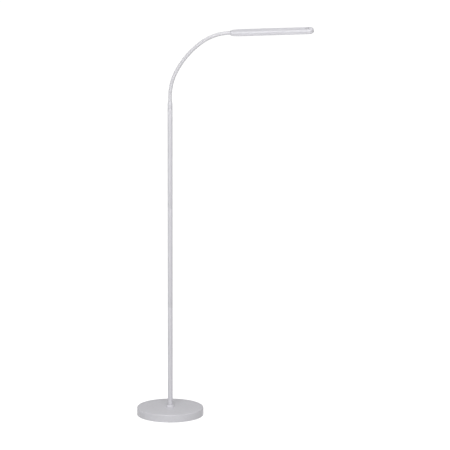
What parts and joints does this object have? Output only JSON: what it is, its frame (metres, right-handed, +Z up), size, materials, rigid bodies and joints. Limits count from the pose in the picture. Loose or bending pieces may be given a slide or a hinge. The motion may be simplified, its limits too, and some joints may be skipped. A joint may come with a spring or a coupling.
{
  "type": "gooseneck reading floor lamp",
  "caption": "Slim reading floor lamp: round weighted base, three-section pole, coupled gooseneck and a flat stick head with a light strip and touch key.",
  "frame": {"origin": "centre of the base's underside, on the floor", "axes": "+Z up along the pole, +X along the arm towards the tip of the head, +Y to the back, where the cord grommet is"},
  "size_m": [0.6353, 0.2317, 1.4179],
  "materials": {
    "white_paint": "satin powder coat",
    "neck_paint": "satin coat on the gooseneck",
    "white_plastic": "fine satin moulding",
    "cast_iron": "rough casting",
    "zinc_steel": "zinc plated",
    "plate_steel": "black paint",
    "foam": "closed-cell foam",
    "grommet_rubber": "soft rubber",
    "nylon": "natural nylon",
    "lead_sheath": "PVC sheath",
    "opal": "opal diffuser",
    "aluminium": "mill finish",
    "white_board": "white solder mask",
    "phosphor": "phosphor chips",
    "key_plastic": "satin key",
    "ring_grey": "grey ring",
    "green_board": "solder mask",
    "black_chip": "moulded package"
  },
  "bodies": {
    "stand": {"base_cover": "white_paint", "base_weight": "cast_iron", "base_plate": "plate_steel", "base_pad": "foam", "base_screws": "zinc_steel", "cord_grommet": "grommet_rubber", "terminal_block": "nylon", "base_stud": "zinc_steel", "base_washer": "zinc_steel", "base_nut": "zinc_steel", "pole_collar": "white_paint", "pole_lower": "white_paint", "pole_middle": "white_paint", "pole_upper": "white_paint", "pole_sockets": "zinc_steel", "pole_studs": "zinc_steel", "pole_lead": "lead_sheath", "neck_ferrule": "white_paint"},
    "neck_01": {"gooseneck_01": "neck_paint", "neck_lead_01": "lead_sheath"},
    "neck_02": {"gooseneck_02": "neck_paint", "neck_lead_02": "lead_sheath"},
    "neck_03": {"gooseneck_03": "neck_paint", "neck_lead_03": "lead_sheath"},
    "neck_04": {"gooseneck_04": "neck_paint", "neck_lead_04": "lead_sheath"},
    "neck_05": {"gooseneck_05": "neck_paint", "neck_lead_05": "lead_sheath"},
    "neck_06": {"gooseneck_06": "neck_paint", "neck_lead_06": "lead_sheath"},
    "neck_07": {"gooseneck_07": "neck_paint", "neck_lead_07": "lead_sheath"},
    "neck_08": {"gooseneck_08": "neck_paint", "neck_lead_08": "lead_sheath"},
    "neck_09": {"gooseneck_09": "neck_paint", "neck_lead_09": "lead_sheath"},
    "neck_10": {"gooseneck_10": "neck_paint", "neck_lead_10": "lead_sheath"},
    "head": {"neck_connector": "white_paint", "connector_washer": "zinc_steel", "connector_nut": "zinc_steel", "head_cover": "white_plastic", "head_tray": "white_plastic", "head_screws": "zinc_steel", "heat_spreader": "aluminium", "spreader_screws": "zinc_steel", "led_board": "white_board", "led_chips": "phosphor", "diffuser": "opal", "reflector": "white_board", "touch_key": "key_plastic", "touch_ring": "ring_grey", "touch_board": "green_board", "touch_chip": "black_chip", "lead_connector": "nylon", "head_lead": "lead_sheath", "touch_lead": "lead_sheath"}
  },
  "joints": [
    {"name": "gooseneck_bend", "type": "hinge", "parent": "stand", "child": "neck_01", "pos_m": [0, 0, 1.12037], "axis": [0, 1, 0], "range_deg": [-12, 12]},
    {"name": "gooseneck_sway", "type": "hinge", "parent": "neck_01", "child": "neck_02", "pos_m": [0.00149, 0, 1.15671], "axis": [-0.9926, 0, 0.1217], "range_deg": [-12, 12]},
    {"name": "bend_02", "type": "hinge", "parent": "neck_02", "child": "neck_03", "pos_m": [0.00917, 0, 1.19224], "axis": [0, 1, 0], "range_deg": [-12, 12]},
    {"name": "bend_03", "type": "hinge", "parent": "neck_03", "child": "neck_04", "pos_m": [0.02315, 0, 1.22579], "axis": [0, 1, 0], "range_deg": [-12, 12]},
    {"name": "sway_04", "type": "hinge", "parent": "neck_04", "child": "neck_05", "pos_m": [0.04178, 0, 1.25704], "axis": [-0.8301, 0, 0.5577], "range_deg": [-12, 12]},
    {"name": "bend_05", "type": "hinge", "parent": "neck_05", "child": "neck_06", "pos_m": [0.06367, 0, 1.2861], "axis": [0, 1, 0], "range_deg": [-12, 12]},
    {"name": "bend_06", "type": "hinge", "parent": "neck_06", "child": "neck_07", "pos_m": [0.08857, 0, 1.31263], "axis": [0, 1, 0], "range_deg": [-12, 12]},
    {"name": "sway_07", "type": "hinge", "parent": "neck_07", "child": "neck_08", "pos_m": [0.11618, 0, 1.33632], "axis": [-0.6092, 0, 0.793], "range_deg": [-12, 12]},
    {"name": "bend_08", "type": "hinge", "parent": "neck_08", "child": "neck_09", "pos_m": [0.14691, 0, 1.35574], "axis": [0, 1, 0], "range_deg": [-12, 12]},
    {"name": "bend_09", "type": "hinge", "parent": "neck_09", "child": "neck_10", "pos_m": [0.18066, 0, 1.36923], "axis": [0, 1, 0], "range_deg": [-12, 12]},
    {"name": "sway_10", "type": "hinge", "parent": "neck_10", "child": "head", "pos_m": [0.21631, 0, 1.37633], "axis": [-0.1045, 0, 0.9945], "range_deg": [-12, 12]}
  ],
  "couplings": [
    {"joint": "bend_02", "follows": "gooseneck_bend", "ratio": 1},
    {"joint": "bend_03", "follows": "gooseneck_bend", "ratio": 1},
    {"joint": "sway_04", "follows": "gooseneck_sway", "ratio": 1},
    {"joint": "bend_05", "follows": "gooseneck_bend", "ratio": 1},
    {"joint": "bend_06", "follows": "gooseneck_bend", "ratio": 1},
    {"joint": "sway_07", "follows": "gooseneck_sway", "ratio": 1},
    {"joint": "bend_08", "follows": "gooseneck_bend", "ratio": 1},
    {"joint": "bend_09", "follows": "gooseneck_bend", "ratio": 1},
    {"joint": "sway_10", "follows": "gooseneck_sway", "ratio": 1}
  ]
}
